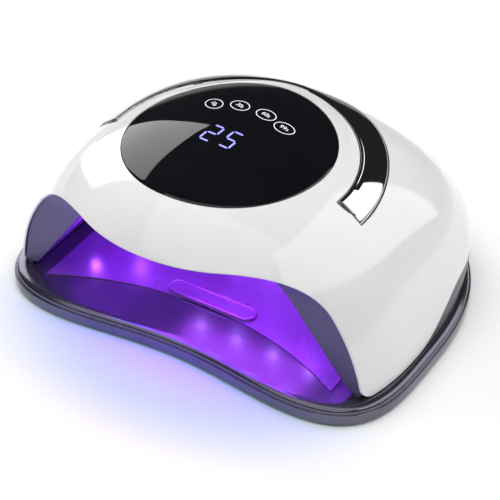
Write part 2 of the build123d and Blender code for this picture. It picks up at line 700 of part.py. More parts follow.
def lead_paths():
    """Corner points of the leads from the driver board to the four light boards: two sides, roof and back."""
    low = DRIVER_Z + BOARD_T + LEAD_R
    back = CAVITY_BACK_Y + 8
    roof_z = CAVITY_TOP_Z + LINER_T + BOARD_GAP + BOARD_T + LEAD_R
    paths = []
    for side in (-1, 1):
        wall = side_wall_plane(side)
        start = wall.origin + wall.z_dir * (BOARD_GAP + BOARD_T + LEAD_R)
        paths.append([(side * 40, back + 6, low), (side * 93, back + 1, low), (side * 92, 15, start.Z), start])
    roof = [(13.5, back + 1.5, low), (26, back, 40), (26, back - 0.5, 66), (26, back - 4, 78), (26, 8, roof_z)]
    paths.append(roof)
    paths.append([(-14, back + 1.5, low), (-14, back - 3, 30), (-14, back - 3, 44)])
    return paths


def build_leads():
    leads = []
    for points in lead_paths():
        path = FilletPolyline(*points, radius=4)
        leads.append(sweep(Plane(path @ 0, z_dir=path % 0) * Circle(LEAD_R), path))
    save("light_leads", gather(leads))


# ---- Strap ----

def make_strap():
    strap = (dome(-STRAP_PROUD) - dome(STRAP_T - STRAP_PROUD)) & strap_prism(0)
    backing = dome(0.5)
    for side in (-1, 1):
        x0, x1 = sorted((side * LUG_X, side * (LUG_X + LUG_W)))
        lug = side_rod(side, LUG_X, LUG_X + LUG_W, LUG_R)
        lug += block(x0, x1, PIVOT_Y - LUG_R, PIVOT_Y + LUG_R, PIVOT_Z, 95)
        strap += backing & lug
    for side in (-1, 1):
        strap -= side_rod(side, LUG_X - 3, LUG_X + LUG_W - 0.7, PIN_R + PIN_CLEARANCE)
    return strap


def make_pin(side):
    """A steel pin fixed in the cover's bracket, on which one end of the strap turns."""
    return side_rod(side, BRACKET_X0 + 2, LUG_X + LUG_W - 1.0, PIN_R)


def build_housing():
    skin = dome(0)
    inner = dome(COVER_T)
    save("top_cover", make_cover(skin, inner, dome(CHANNEL_D)))
    save("lower_frame", make_frame(skin))
    save("front_bezel", make_bezel())
    save("reflector_liner", make_liner())
    window_plan = oval_prism(WINDOW_A, WINDOW_B, WINDOW_Y, 60, 120)
    save("display_window", (skin - dome(WINDOW_T)) & window_plan)
    gasket = (dome(WINDOW_T) - dome(WINDOW_T + GASKET_T)) & window_plan
    save("window_gasket", gasket - oval_prism(WINDOW_A - LEDGE_IN, WINDOW_B - LEDGE_IN, WINDOW_Y, 60, 120))
    screw_tip = FRAME_Z + FRAME_PLATE_T + FRAME_SCREW_REACH
    frame_screws = [screw(x, y, FRAME_HEAD_Z, FRAME_HEAD_H, screw_tip) for x, y in cover_boss_places()]
    save("frame_screws", gather(frame_screws))
    magnets = [post(x, y, FRAME_Z, FRAME_Z + MAGNET_H, MAGNET_R) for x, y in magnet_places()]
    save("holding_magnets", gather(magnets))
    save("strap_pins", gather([make_pin(-1), make_pin(1)]))
    save("carry_strap", make_strap())


os.makedirs("parts", exist_ok=True)
build_tray()
build_housing()
build_light_boards()
build_driver()
build_display()
build_leads()
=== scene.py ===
import bpy, bmesh
from math import atan2, cos, exp, pi, radians, sin, sqrt
from mathutils import Matrix, Vector


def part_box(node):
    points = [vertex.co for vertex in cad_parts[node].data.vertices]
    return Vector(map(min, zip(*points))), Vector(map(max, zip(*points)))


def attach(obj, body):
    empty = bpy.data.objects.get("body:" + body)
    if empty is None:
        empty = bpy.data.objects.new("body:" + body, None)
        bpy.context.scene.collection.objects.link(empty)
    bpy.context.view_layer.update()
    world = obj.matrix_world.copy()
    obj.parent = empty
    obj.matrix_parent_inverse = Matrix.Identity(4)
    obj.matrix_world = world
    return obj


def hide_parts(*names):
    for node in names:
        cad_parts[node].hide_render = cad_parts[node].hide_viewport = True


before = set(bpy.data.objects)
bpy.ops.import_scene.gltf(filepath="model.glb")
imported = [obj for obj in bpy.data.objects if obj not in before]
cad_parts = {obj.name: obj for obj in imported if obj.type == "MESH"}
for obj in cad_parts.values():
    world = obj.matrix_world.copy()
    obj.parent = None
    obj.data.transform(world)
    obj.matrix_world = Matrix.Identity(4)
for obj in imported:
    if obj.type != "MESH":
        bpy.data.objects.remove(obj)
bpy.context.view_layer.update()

MM = 0.001

# ---- Driving sizes and places, in millimetres; the dome, cover, strap and tray follow the CAD source ----
MID_Y = -14.5  # widest line of the tray and of the dome's foot
FAR = 200  # reach of the cutting blocks, well past the lamp on every side

DOME_H, DOME_HALF_W, DOME_FRONT, DOME_BACK = 106.6, 107.6, 92.5, 110.5
SIDE_POWER, FRONT_POWER, BACK_POWER = 2.22, 2.62, 2.67
LEAN_FOOT, LEAN_TOP = -1.5, -15.8  # centre of the lowest and the highest section, from MID_Y
FRONT_ROUND_FOOT, FRONT_ROUND_RISE = 2.8, -1.0  # plan power of the front half, and how it changes upwards
BACK_ROUND_FOOT, BACK_ROUND_RISE, BACK_ROUND_BULGE, BACK_ROUND_MIN = 1.9, -1.27, 2.28, 1.85

COVER_T, LIP_T = 2.5, 0.9  # the cover's wall, and its thin lip round the mouth
LIP_REACH, LIP_FADE = 5.0, 2.0  # width of the thin lip, and of the slope behind it up to the full wall
# Extra wall under the strap's channel and behind the finger scoop, and where each begins and ends.
CHANNEL_EXTRA_T, CHANNEL_LEVEL, CHANNEL_FRONT_Y = 6.0, 0.60, -45
SCOOP_EXTRA_T, SCOOP_LEVEL, SCOOP_FRONT_Y, SCOOP_TOP_Z = 14.0, 0.5, 30, 100
BROW_Y, BROW_Z, BROW_R = MID_Y - 54.5, 79.2, 24.0
BROW_SLOPE = 0.06  # how far the mouth's edge goes back for each millimetre down
MOUTH_FOOT_Y, MOUTH_FOOT_R = MID_Y - 50.5, 7.0
SKIRT_Z, SKIRT_TOP_Z, SKIRT_R = 11.0, 25.0, 40.0
SKIRT_RISE_Y, SKIRT_TOP_Y = MID_Y + 1.0, MID_Y + 36.0

WINDOW_Y, WINDOW_A, WINDOW_B = MID_Y - 8.5, 51.9, 53.6
WINDOW_T, WINDOW_FIT, WINDOW_BEVEL = 2.2, 0.15, (0.35, 0.3)  # the bevel goes in and down
# Each key: its place from (0, MID_Y), its turn in degrees, and its legend.
KEYS = ((-18.9, 6.8, -40, "10s"), (-6.6, 11.1, -20, "30s"), (8.3, 11.1, -13, "60s"), (20.8, 7.4, -4, "99s"))
KEY_OUTER, KEY_INNER = (5.55, 4.4), (5.15, 4.0)  # half axes of the printed rings
LEGEND_SIZE, LEGEND_THIN = 3.7, -0.02  # the strokes are thinned by the second
MARK_HALF_T = 0.1  # printed marks reach this far above and below the window's face
DIGITS = (("digit_tens", "2", -4.7), ("digit_units", "5", 6.1))  # name, figure, and the X of its middle
DIGITS_Y, DIGITS_TURN = MID_Y - 17.1, -0.07
SEGMENTS = {"2": "abged", "5": "afgcd"}  # the bars that are lit

STRAP_OUT_A, STRAP_OUT_B, STRAP_OUT_Y = 75.2, 80.0, MID_Y - 8.0
STRAP_IN_A, STRAP_IN_B, STRAP_IN_Y = 63.3, 64.0, MID_Y - 9.0
STRAP_END_Y = MID_Y - 12.5
STRAP_GAP, CHANNEL_D = 0.6, 6.0
PIVOT_Y, PIVOT_Z = MID_Y - 9.0, 85.0
POCKET_INNER_R, POCKET_OUTER_R, POCKET_W = 8.2, 4.6, 7.0
LUG_X, LUG_W, LUG_R, LUG_DROP = 63.9, 4.0, 2.8, 0.4  # drawn a little slimmer than in the CAD source
SCOOP_R, SCOOP_HALF_W, SCOOP_Y, SCOOP_Z = 15.0, 20.0, MID_Y + 71.0, 85.5
VENTS, VENT_PITCH, VENT_HALF_W, VENT_ROUND = 9, 6.0, 1.3, 1.29  # the ends are all but half round
VENT_LOW_Z, VENT_HIGH_Z, VENT_FROM_Y, VENT_TO_Y = 34, 52, 60, 110

TRAY_HALF_W, TRAY_FRONT, TRAY_BACK = 112.5, 76.2, 114.1
TRAY_FRONT_POWER, TRAY_BACK_POWER = 4.0, 2.4
WAIST_DEPTH, WAIST_WIDTH = 14.1, 73.4


def smooth_step(x):
    x = min(max(x, 0.0), 1.0)
    return x * x * (3 - 2 * x)


def fade(level, power):
    return max(1 - level ** power, 0.0) ** (1 / power)


def dome_shape(level, inset):
    half_x = (DOME_HALF_W - inset) * fade(level, SIDE_POWER)
    front = (DOME_FRONT - inset) * fade(level, FRONT_POWER)
    back = (DOME_BACK - inset) * fade(level, BACK_POWER)
    front_power = FRONT_ROUND_FOOT + FRONT_ROUND_RISE * level
    bulge = BACK_ROUND_BULGE * 4 * level * (1 - level)
    back_power = max(BACK_ROUND_FOOT + BACK_ROUND_RISE * level + bulge, BACK_ROUND_MIN)
    return half_x, front, back, front_power, back_power, MID_Y + LEAN_FOOT + (LEAN_TOP - LEAN_FOOT) * level


def polar_radius(angle, half_x, half_y, power):
    return (abs(cos(angle) / half_x) ** power + abs(sin(angle) / half_y) ** power) ** (-1 / power)


def dome_point(angle, level, inset):
    half_x, front, back, front_power, back_power, centre = dome_shape(level, inset)
    half_y, power = (front, front_power) if sin(angle) < 0 else (back, back_power)
    radius = polar_radius(angle, half_x, half_y, power)
    return Vector((radius * cos(angle), radius * sin(angle) + centre, level * (DOME_H - inset)))


def dome_height(x, y, inset=0.0):
    low, high = 0.0, 1.0
    for _ in range(26):
        level = (low + high) / 2
        half_x, front, back, front_power, back_power, centre = dome_shape(level, inset)
        half_y, power = (front, front_power) if y < centre else (back, back_power)
        inside = (abs(x) / half_x) ** power + (abs(y - centre) / half_y) ** power < 1
        low, high = (level, high) if inside else (low, level)
    return low * (DOME_H - inset)


# ---- Mesh helpers: every list of points is in millimetres ----

def new_object(name, points, faces):
    mesh = bpy.data.meshes.new(name)
    mesh.from_pydata([Vector(p) * MM for p in points], [], faces)
    bm = bmesh.new()
    bm.from_mesh(mesh)
    bmesh.ops.recalc_face_normals(bm, faces=bm.faces)
    bm.to_mesh(mesh)
    bm.free()
    piece = bpy.data.objects.new(name, mesh)
    bpy.context.scene.collection.objects.link(piece)
    return piece


def shade(piece, angle=32):
    piece.data.polygons.foreach_set("use_smooth", [True] * len(piece.data.polygons))
    piece.data.set_sharp_from_angle(angle=radians(angle))


def finish_piece(piece, body, material, replaced=()):
    shade(piece)
    piece.data.materials.clear()
    piece.data.materials.append(material)
    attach(piece, body)
    if replaced:
        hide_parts(*replaced)
    return piece


def tube_faces(rings, count, closed_rings=False):
    """Quads between successive rings of the same number of points."""
    faces = []
    last = rings if closed_rings else rings - 1
    for i in range(last):
        a, b = i * count, ((i + 1) % rings) * count
        for j in range(count):
            k = (j + 1) % count
            faces.append((a + j, a + k, b + k, b + j))
    return faces


def ring_solid(name, rings):
    """A closed solid skinned over rings, with a flat cap on the first and the last."""
    count = len(rings[0])
    points = [p for ring in rings for p in ring]
    faces = tube_faces(len(rings), count)
    faces.append(tuple(range(count)))
    faces.append(tuple(range(len(points) - count, len(points))))
    return new_object(name, points, faces)


def apply_cuts(piece, cutters):
    """Cuts closed solids out of a piece, one at a time, and removes them."""
    for cutter in cutters:
        cut = piece.modifiers.new("cut", "BOOLEAN")
        cut.operation = "DIFFERENCE"
        cut.solver = "EXACT"
        cut.object = cutter
        bpy.context.view_layer.update()
        graph = bpy.context.evaluated_depsgraph_get()
        mesh = bpy.data.meshes.new_from_object(piece.evaluated_get(graph))
        piece.modifiers.clear()
        old = piece.data
        piece.data = mesh
        bpy.data.meshes.remove(old)
        bpy.data.objects.remove(cutter)


def oval_ring(half_x, half_y, y, z, count=160):
    return [(half_x * cos(2 * pi * j / count), y + half_y * sin(2 * pi * j / count), z) for j in range(count)]


def rod_x(name, x0, x1, y, z, r0, r1, count=64):
    rings = [[(x, y + r * cos(2 * pi * j / count), z + r * sin(2 * pi * j / count)) for j in range(count)]
             for x, r in ((x0, r0), (x1, r1))]
    return ring_solid(name, rings)


def rounded_path(corners, steps=14):
    """A closed outline through corners (a, b, radius), each rounded by an arc."""
    outline = []
    for i, (a, b, radius) in enumerate(corners):
        corner = Vector((a, b))
        if not radius:
            outline.append(tuple(corner))
            continue
        before = (Vector(corners[i - 1][:2]) - corner).normalized()
        after = (Vector(corners[(i + 1) % len(corners)][:2]) - corner).normalized()
        half = before.angle(after) / 2
        centre = corner + (before + after).normalized() * (radius / sin(half))
        start = corner + before * (radius * cos(half) / sin(half)) - centre
        end = corner + after * (radius * cos(half) / sin(half)) - centre
        turn = start.angle_signed(end)
        for k in range(steps + 1):
            t = -turn * k / steps
            outline.append((centre.x + start.x * cos(t) - start.y * sin(t),
                            centre.y + start.x * sin(t) + start.y * cos(t)))
    return outline


# ---- Materials ----

def node(tree, kind, **values):
    made = tree.nodes.new(kind)
    for key, value in values.items():
        setattr(made, key, value)
    return made


def material(name, dark, light, rough=(0.1, 0.2), scale=40.0, metallic=0.0, bump=0.0, bump_scale=400.0,
             coat=0.0, emission=None, strength=0.0, edge=0.0, ior=1.5):
    """A surface whose colour and roughness drift between two values over a noise, with a fine relief."""
    mat = bpy.data.materials.new(name)
    mat.use_nodes = True
    tree = mat.node_tree
    shader = tree.nodes["Principled BSDF"]
    place = node(tree, "ShaderNodeTexCoord")
    cloud = node(tree, "ShaderNodeTexNoise")
    cloud.inputs["Scale"].default_value = scale
    cloud.inputs["Detail"].default_value = 3.0
    tree.links.new(place.outputs["Object"], cloud.inputs["Vector"])
    ramp = node(tree, "ShaderNodeValToRGB")
    ramp.color_ramp.elements[0].position, ramp.color_ramp.elements[1].position = 0.3, 0.7
    ramp.color_ramp.elements[0].color = (*dark, 1)
    ramp.color_ramp.elements[1].color = (*light, 1)
    tree.links.new(cloud.outputs["Fac"], ramp.inputs["Fac"])
    tree.links.new(ramp.outputs["Color"], shader.inputs["Base Color"])
    spread = node(tree, "ShaderNodeMapRange")
    spread.inputs["From Min"].default_value, spread.inputs["From Max"].default_value = 0.3, 0.7
    spread.inputs["To Min"].default_value, spread.inputs["To Max"].default_value = rough
    tree.links.new(cloud.outputs["Fac"], spread.inputs["Value"])
    tree.links.new(spread.outputs["Result"], shader.inputs["Roughness"])
    shader.inputs["Metallic"].default_value = metallic
    shader.inputs["Coat Weight"].default_value = coat
    shader.inputs["Coat Roughness"].default_value = 0.04
    shader.inputs["IOR"].default_value = ior
    if emission:
        shader.inputs["Emission Color"].default_value = (*emission, 1)
        shader.inputs["Emission Strength"].default_value = strength
    if bump:
        grain = node(tree, "ShaderNodeTexNoise")
        grain.inputs["Scale"].default_value = bump_scale
        grain.inputs["Detail"].default_value = 4.0
        tree.links.new(place.outputs["Object"], grain.inputs["Vector"])
        relief = node(tree, "ShaderNodeBump")
        relief.inputs["Strength"].default_value = bump
        relief.inputs["Distance"].default_value = 0.0004
        tree.links.new(grain.outputs["Fac"], relief.inputs["Height"])
        tree.links.new(relief.outputs["Normal"], shader.inputs["Normal"])
        if edge:
            soft = node(tree, "ShaderNodeBevel")
            soft.inputs["Radius"].default_value = edge
            tree.links.new(soft.outputs["Normal"], relief.inputs["Normal"])
    return mat


WHITE = material("white_gloss", (0.79, 0.79, 0.795), (0.81, 0.81, 0.815), (0.08, 0.12), bump=0.02, coat=0.4,
                 edge=0.0006)
WINDOW = material("smoked_window", (0.004, 0.004, 0.006), (0.006, 0.006, 0.008), (0.02, 0.04), ior=1.55)
CHROME = material("plated_chrome", (0.58, 0.61, 0.57), (0.63, 0.66, 0.62), (0.03, 0.06), metallic=1.0,
                  bump=0.01)
TRAY = material("gunmetal_tray", (0.14, 0.13, 0.17), (0.17, 0.16, 0.21), (0.15, 0.22), bump=0.03,
                bump_scale=900.0, coat=0.2, metallic=0.85)
# The bezel is dark; the violet in its colour is painted light from the cavity's glow.
BEZEL_WITH_PAINTED_VIOLET = material("dark_bezel_painted_violet", (0.078, 0.062, 0.15), (0.095, 0.076, 0.18), (0.32, 0.42), bump=0.08,
                 bump_scale=1500.0)
FRAME_DARK = material("dark_frame", (0.05, 0.05, 0.065), (0.07, 0.07, 0.085), (0.25, 0.35), bump=0.1,
                      bump_scale=1200.0)
# The liner is silvery; the violet in its colour is painted light of the beads.
LINER_WITH_PAINTED_VIOLET = material("metallised_liner_painted_violet", (0.37, 0.18, 0.55), (0.42, 0.21, 0.62), (0.28, 0.36), metallic=0.6,
                 bump=0.03)
# The floor plate and the rest bar are silvery; the violet in their colour is painted light of the beads.
FLOOR_WITH_PAINTED_VIOLET = material("metallised_floor_painted_violet", (0.33, 0.13, 0.45), (0.38, 0.16, 0.52), (0.22, 0.30),
                        metallic=0.6, bump=0.03)
STEEL = material("plated_steel", (0.5, 0.5, 0.52), (0.62, 0.62, 0.64), (0.2, 0.3), metallic=1.0, bump=0.05)
RUBBER = material("soft_rubber", (0.02, 0.02, 0.02), (0.035, 0.035, 0.035), (0.6, 0.75), bump=0.3,
                  bump_scale=2000.0)
BOARD = material("green_board", (0.01, 0.10, 0.04), (0.02, 0.16, 0.06), (0.3, 0.4), bump=0.1)
WHITE_BOARD = material("white_board", (0.7, 0.7, 0.7), (0.8, 0.8, 0.8), (0.3, 0.4), bump=0.1)
PLAIN_DARK = material("plain_dark", (0.03, 0.03, 0.035), (0.05, 0.05, 0.055), (0.4, 0.55), bump=0.2,
                      bump_scale=1500.0)
SLEEVE = material("lead_sleeve", (0.55, 0.55, 0.52), (0.68, 0.68, 0.65), (0.4, 0.5), bump=0.1)
CAN = material("capacitor_can", (0.02, 0.025, 0.09), (0.04, 0.045, 0.13), (0.2, 0.3), bump=0.05)
COIL = material("lacquered_coil", (0.20, 0.08, 0.03), (0.30, 0.13, 0.05), (0.3, 0.4), bump=0.5,
                bump_scale=3000.0)
BEAD = material("lamp_bead", (0.6, 0.5, 0.9), (0.7, 0.6, 1.0), (0.1, 0.2), emission=(0.46, 0.22, 1.0),
                strength=16.0)
# The printed rings and legends are white; their faint glow is painted light.
MARK_WITH_PAINTED_GLOW = material("key_mark", (0.75, 0.76, 0.78), (0.85, 0.86, 0.88), (0.3, 0.4), emission=(0.9, 0.92, 1.0),
                strength=0.35)
DIGIT = material("lit_digit", (0.25, 0.25, 0.7), (0.35, 0.35, 0.9), (0.3, 0.4), emission=(0.25, 0.25, 1.0),
                 strength=0.75)


# ---- White cover ----

def cover_inset(point, level):
    """The cover's wall: thin round the mouth, thick round the strap's channel and the finger scoop."""
    u = point.y - BROW_Y + BROW_R - BROW_SLOPE * (BROW_Z - point.z)
    v = point.z - BROW_Z + BROW_R
    from_mouth = min(max(u, v), 0) + sqrt(max(u, 0) ** 2 + max(v, 0) ** 2) - BROW_R
    lip = 1 - smooth_step((from_mouth - LIP_REACH) / LIP_FADE)
    channel = smooth_step((level - CHANNEL_LEVEL) / 0.08) * smooth_step((point.y - CHANNEL_FRONT_Y) / 8)
    scoop = 1 - smooth_step((abs(point.x) - SCOOP_HALF_W - 2) / 6)
    scoop *= smooth_step((point.y - SCOOP_FRONT_Y) / 8) * (1 - smooth_step((point.z - SCOOP_TOP_Z) / 6))
    scoop *= smooth_step((level - SCOOP_LEVEL) / 0.1)
    return COVER_T - (COVER_T - LIP_T) * lip + CHANNEL_EXTRA_T * channel + SCOOP_EXTRA_T * scoop


def dome_shell():
    """The cover before it is cut: two skins joined at the foot, each closed by a flat cap at the top."""
    columns, rows = 256, 120
    lowest, sweep, spacing = 2.2, 86.8, 2 / 2.4
    levels = [sin(radians(lowest + sweep * i / (rows - 1))) ** spacing for i in range(rows)]
    points = []
    for inner in (False, True):
        for level in levels:
            for j in range(columns):
                angle = 2 * pi * (j + 0.5) / columns - pi / 2
                point = dome_point(angle, level, 0.0)
                points.append(dome_point(angle, level, cover_inset(point, level)) if inner else point)
    half = rows * columns
    faces = tube_faces(rows, columns)
    faces += [tuple(half + v for v in face) for face in tube_faces(rows, columns)]
    for j in range(columns):
        k = (j + 1) % columns
        faces.append((j, k, half + k, half + j))
    faces.append(tuple(half - columns + j for j in range(columns)))
    faces.append(tuple(2 * half - columns + j for j in range(columns)))
    return new_object("cover_shell", points, faces)


def mouth_cutter():
    """All that lies below the cover's edge: the mouth, its feet, and the skirt line rising to the back."""
    edge = rounded_path([(-FAR, BROW_Z, 0), (BROW_Y, BROW_Z, BROW_R), (MOUTH_FOOT_Y, SKIRT_Z, MOUTH_FOOT_R),
                         (SKIRT_RISE_Y, SKIRT_Z, SKIRT_R), (SKIRT_TOP_Y, SKIRT_TOP_Z, SKIRT_R),
                         (FAR, SKIRT_TOP_Z, 0), (FAR, -50, 0), (-FAR, -50, 0)], 24)
    return ring_solid("cut", [[(x, y, z) for y, z in edge] for x in (-FAR, FAR)])


def vent_cutter(x):
    left, right = x - VENT_HALF_W, x + VENT_HALF_W
    edge = rounded_path([(left, VENT_LOW_Z, VENT_ROUND), (right, VENT_LOW_Z, VENT_ROUND),
                         (right, VENT_HIGH_Z, VENT_ROUND), (left, VENT_HIGH_Z, VENT_ROUND)], 6)
    return ring_solid("cut", [[(a, y, b) for a, b in edge] for y in (VENT_FROM_Y, VENT_TO_Y)])


def make_cover():
    cover = dome_shell()
    window_a, window_b = WINDOW_A + WINDOW_FIT, WINDOW_B + WINDOW_FIT
    cutters = [ring_solid("cut", [oval_ring(window_a, window_b, WINDOW_Y, z) for z in (60, 130)])]
    cutters.append(channel_cutter())
    for side in (-1, 1):
        x = side * (STRAP_IN_A - STRAP_GAP)
        cutters.append(rod_x("cut", x, x + side * POCKET_W, PIVOT_Y, PIVOT_Z, POCKET_INNER_R, POCKET_OUTER_R))
    cutters.append(rod_x("cut", -SCOOP_HALF_W, SCOOP_HALF_W, SCOOP_Y, SCOOP_Z, SCOOP_R, SCOOP_R, 96))
    cutters.append(mouth_cutter())
    cutters += [vent_cutter(VENT_PITCH * (i - VENTS // 2)) for i in range(VENTS)]
    apply_cuts(cover, cutters)
    return cover


def channel_cutter():
    """The strap's channel as a curved block: its floor follows the skin, and it is open at the top."""
    steps, across = 120, 12
    rings = []
    in_a, in_b = STRAP_IN_A - STRAP_GAP, STRAP_IN_B - STRAP_GAP
    out_a, out_b = STRAP_OUT_A + STRAP_GAP, STRAP_OUT_B + STRAP_GAP
    end_y = STRAP_END_Y - STRAP_GAP
    in_0 = atan2((end_y - STRAP_IN_Y) / in_b, 1)
    out_0 = atan2((end_y - STRAP_OUT_Y) / out_b, 1)
    for i in range(steps + 1):
        t = i / steps
        a, b = in_0 + (pi - 2 * in_0) * t, out_0 + (pi - 2 * out_0) * t
        inner = Vector((in_a * cos(a), STRAP_IN_Y + in_b * sin(a)))
        outer = Vector((out_a * cos(b), STRAP_OUT_Y + out_b * sin(b)))
        if i in (0, steps):
            inner.y = outer.y = end_y
        floor_line = [inner.lerp(outer, k / across) for k in range(across + 1)]
        ring = [(p.x, p.y, dome_height(p.x, p.y, CHANNEL_D)) for p in floor_line]
        ring += [(outer.x, outer.y, 125), (inner.x, inner.y, 125)]
        rings.append(ring)
    return ring_solid("cut", rings)


def place_cover():
    finish_piece(make_cover(), "housing", WHITE, ["top_cover"])


# ---- Window, keys and digits ----

def make_window():
    """The pane: its face follows the dome, its edge is bevelled, and its back is the same face set lower."""
    rings, count, first = 46, 200, 0.02
    loops = []
    for i in range(rings + 1):
        s = first + (1 - first) * i / rings
        loops.append([(x, y) for x, y, _ in oval_ring(WINDOW_A * s, WINDOW_B * s, WINDOW_Y, 0, count)])
    bevel_in, bevel_down = WINDOW_BEVEL
    s_in = 1 - bevel_in / WINDOW_A
    loops.insert(rings, [(x * s_in, WINDOW_Y + (y - WINDOW_Y) * s_in) for x, y in loops[rings]])
    top = [[(x, y, dome_height(x, y)) for x, y in loop] for loop in loops]
    top[-1] = [(x, y, z - bevel_down) for x, y, z in top[-1]]
    back = reversed(loops[::3] + [loops[-1]])
    bottom = [[(x, y, dome_height(x, y, WINDOW_T)) for x, y in loop] for loop in back]
    return ring_solid("window_pane", top + bottom)


def on_window(x, y, lift):
    return (x, y, dome_height(x, y) + lift)


def flat_mark(name, outlines):
    """Printed marks as thin closed slabs: each outline is a pair (outer, inner), or one filled outline."""
    points, faces = [], []
    for outer, inner in outlines:
        loops = [(outer, MARK_HALF_T), (outer, -MARK_HALF_T)]
        if inner:
            loops += [(inner, -MARK_HALF_T), (inner, MARK_HALF_T)]
        base, count = len(points), len(outer)
        points += [on_window(x, y, lift) for loop, lift in loops for x, y in loop]
        faces += [tuple(base + v for v in face) for face in tube_faces(len(loops), count, bool(inner))]
        if not inner:
            faces.append(tuple(range(base, base + count)))
            faces.append(tuple(range(base + count, base + 2 * count)))
    return new_object(name, points, faces)


def turned(points, x, y, angle):
    return [(x + a * cos(angle) - b * sin(angle), y + a * sin(angle) + b * cos(angle)) for a, b in points]


def key_oval(half_x, half_y, count=56):
    return [(half_x * cos(2 * pi * j / count), half_y * sin(2 * pi * j / count)) for j in range(count)]


def key_legend(name, words, x, y, angle):
    """Generic timer figures, laid on the window's face."""
    text = bpy.data.curves.new(name, "FONT")
    text.body = words
    text.size = LEGEND_SIZE
    text.align_x, text.align_y = "CENTER", "CENTER"
    text.offset = LEGEND_THIN
    text.extrude = MARK_HALF_T
    holder = bpy.data.objects.new("holder", text)
    bpy.context.scene.collection.objects.link(holder)
    bpy.context.view_layer.update()
    mesh = bpy.data.meshes.new_from_object(holder)
    bpy.data.objects.remove(holder)
    for vertex in mesh.vertices:
        px, py = turned([(vertex.co.x, vertex.co.y)], x, y, angle)[0]
        vertex.co = Vector(on_window(px, py, vertex.co.z)) * MM
    legend = bpy.data.objects.new(name, mesh)
    bpy.context.scene.collection.objects.link(legend)
    return legend


def make_keys():
    rings = []
    for x, y, tilt, _ in KEYS:
        outer = turned(key_oval(*KEY_OUTER), x, MID_Y + y, radians(tilt))
        inner = turned(key_oval(*KEY_INNER), x, MID_Y + y, radians(tilt))
        rings.append((outer, inner))
    finish_piece(flat_mark("key_rings", rings), "housing", MARK_WITH_PAINTED_GLOW)
    for i, (x, y, tilt, words) in enumerate(KEYS):
        legend = key_legend(f"key_legend_{i}", words, x, MID_Y + y, radians(tilt))
        finish_piece(legend, "housing", MARK_WITH_PAINTED_GLOW)


def segment_outline(kind, length=5.2, height=6.4, half=0.5):
    """One bar of a seven-segment digit, with pointed ends, in the digit's own plane."""
    across = {"a": height, "g": 0.0, "d": -height}
    if kind in across:
        y, reach = across[kind], length / 2 - 0.15
        return [(-reach, y), (-reach + half, y + half), (reach - half, y + half), (reach, y),
                (reach - half, y - half), (-reach + half, y - half)]
    x = length / 2 + 0.25 if kind in "bc" else -length / 2 - 0.25
    low, high = (0.35, height - 0.35) if kind in "bf" else (-height + 0.35, -0.35)
    return [(x, low), (x + half, low + half), (x + half, high - half), (x, high),
            (x - half, high - half), (x - half, low + half)]


def make_digits():
    for name, figure, x in DIGITS:
        outlines = [(turned(segment_outline(k), x, DIGITS_Y, DIGITS_TURN), None) for k in SEGMENTS[figure]]
        finish_piece(flat_mark(name, outlines), "housing", DIGIT)


def place_window():
    finish_piece(make_window(), "housing", WINDOW, ["display_window"])
    make_keys()
    make_digits()


# ---- Carrying strap ----

def strap_section():
    """Closed section of the strap: share of the way across, and depth under the dome's skin."""
    bottom = 2.7
    inner_step = [(0.0, 0.2), (0.015, -0.15), (0.045, -0.35), (0.085, -0.4), (0.105, -0.42), (0.125, -0.62)]
    crown = [(0.15, -0.78), (0.3, -0.84), (0.5, -0.86), (0.7, -0.84), (0.9, -0.78)]
    outer_edge = [(0.96, -0.66), (0.985, -0.42), (1.0, 0.0)]
    return [(0.0, bottom)] + inner_step + crown + outer_edge + [(1.0, bottom), (0.5, bottom)]


def make_strap():
    """The strap along its two ovals; its square ends are a little narrower and lower, as a small chamfer."""
    steps, chamfer = 150, 0.0018
    end_share, end_depth = 0.95, -0.5
    section = strap_section()
    in_0 = atan2((STRAP_END_Y - STRAP_IN_Y) / STRAP_IN_B, 1)
    out_0 = atan2((STRAP_END_Y - STRAP_OUT_Y) / STRAP_OUT_B, 1)
    stations = [0.0, chamfer] + [i / steps for i in range(1, steps)] + [1 - chamfer, 1.0]
    rings = []
    for n, t in enumerate(stations):
        a, b = in_0 + (pi - 2 * in_0) * t, out_0 + (pi - 2 * out_0) * t
        inner = Vector((STRAP_IN_A * cos(a), STRAP_IN_Y + STRAP_IN_B * sin(a)))
        outer = Vector((STRAP_OUT_A * cos(b), STRAP_OUT_Y + STRAP_OUT_B * sin(b)))
        end = n in (0, len(stations) - 1)
        ring = []
        for s, depth in section:
            if end:
                s, depth = 0.5 + (s - 0.5) * end_share, max(depth, end_depth)
            p = inner.lerp(outer, s)
            ring.append((p.x, p.y, dome_height(p.x, p.y, depth)))
        rings.append(ring)
    return ring_solid("strap_bar", rings)


def place_strap():
    finish_piece(make_strap(), "strap", CHROME, ["carry_strap"])
    for side, name in ((-1, "strap_lug_left"), (1, "strap_lug_right")):
        lug = rod_x(name, side * LUG_X, side * (LUG_X + LUG_W), PIVOT_Y, PIVOT_Z - LUG_DROP, LUG_R, LUG_R, 40)
        finish_piece(lug, "strap", CHROME)


# ---- Tray ----

def tray_point(angle, inset, z):
    front = TRAY_FRONT - inset
    half_y, power = (front, TRAY_FRONT_POWER) if sin(angle) < 0 else (TRAY_BACK - inset, TRAY_BACK_POWER)
    radius = polar_radius(angle, TRAY_HALF_W - inset, half_y, power)
    x, y = radius * cos(angle), radius * sin(angle)
    waist = WAIST_DEPTH * exp(-(x / WAIST_WIDTH) ** 2) * max(-y / front, 0)
    return (x, y + waist + MID_Y, z)


